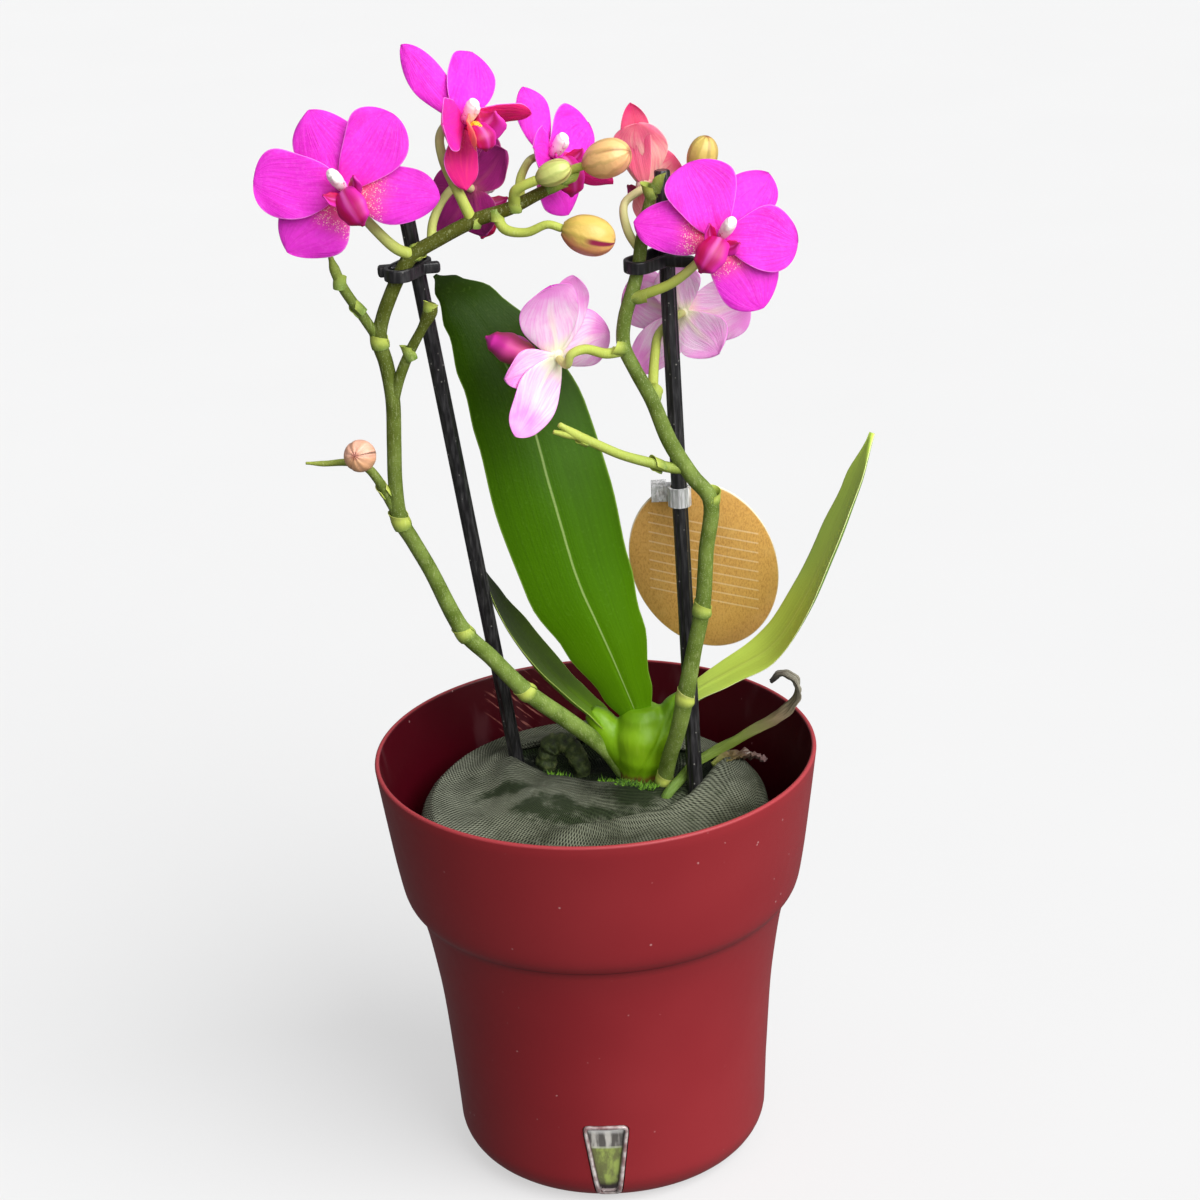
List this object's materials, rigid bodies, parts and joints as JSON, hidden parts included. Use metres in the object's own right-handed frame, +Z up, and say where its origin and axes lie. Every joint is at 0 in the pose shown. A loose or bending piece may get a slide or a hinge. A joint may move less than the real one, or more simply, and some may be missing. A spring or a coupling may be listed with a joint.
{
  "type": "potted miniature moth orchid",
  "caption": "Miniature moth orchid in bloom, its staked flower spikes and leaves growing from a fabric-wrapped root ball in a tapered self-watering plastic pot with a gauge window.",
  "frame": {"origin": "centre of the pot's flat underside", "axes": "+Z up; the gauge window in the pot's foot looks along -Y, and the taller flower spike's foot is on the -X side"},
  "size_m": [0.1625, 0.125, 0.3275],
  "materials": {
    "pot_plastic": "satin moulded plastic",
    "gauge_pane": "clear, slightly cloudy",
    "dark_plastic": "matt",
    "water": "clear liquid with green algae",
    "root_ball": "damp compost and moss",
    "knit_fabric": "fine knit, damp",
    "aerial_root": "satin",
    "crown_green": "waxy",
    "leaf_green": "waxy gloss",
    "leaf_dry": "dry and matt",
    "spike_green": "satin",
    "black_plastic": "satin moulded plastic",
    "kraft_card": "uncoated card",
    "clear_plastic": "clear",
    "petal": "satin, finely cellular",
    "column_white": "waxy",
    "lip_crimson": "waxy",
    "bud": "waxy"
  },
  "bodies": {
    "root": {"pot": "pot_plastic", "gauge_window": "gauge_pane", "reservoir_platform": "dark_plastic", "reservoir_water": "water", "root_ball": "root_ball", "root_wrap": "knit_fabric", "aerial_root": "aerial_root", "crown": "crown_green", "leaf_tall": "leaf_green", "leaf_left": "leaf_green", "leaf_right": "leaf_green", "leaf_withered": "leaf_dry", "sheath_scrap": "leaf_dry", "spike_left": "spike_green", "spike_right": "spike_green", "bloom_1_tepals": "petal", "bloom_1_column": "column_white", "bloom_1_lip": "lip_crimson", "bloom_2_tepals": "petal", "bloom_2_column": "column_white", "bloom_2_lip": "lip_crimson", "bloom_3_tepals": "petal", "bloom_3_column": "column_white", "bloom_3_lip": "lip_crimson", "bloom_4_tepals": "petal", "bloom_4_column": "column_white", "bloom_4_lip": "lip_crimson", "bloom_5_tepals": "petal", "bloom_5_column": "column_white", "bloom_5_lip": "lip_crimson", "bloom_6_tepals": "petal", "bloom_6_column": "column_white", "bloom_6_lip": "lip_crimson", "bloom_7_tepals": "petal", "bloom_7_column": "column_white", "bloom_7_lip": "lip_crimson", "bloom_8_tepals": "petal", "bloom_8_column": "column_white", "bloom_8_lip": "lip_crimson", "bud_1": "bud", "bud_2": "bud", "bud_3": "bud", "bud_4": "bud", "bud_5": "bud", "stake_left": "black_plastic", "stake_right": "black_plastic", "tie_left": "black_plastic", "tie_right": "black_plastic", "tag": "kraft_card", "tag_clip": "clear_plastic"}
  },
  "joints": []
}
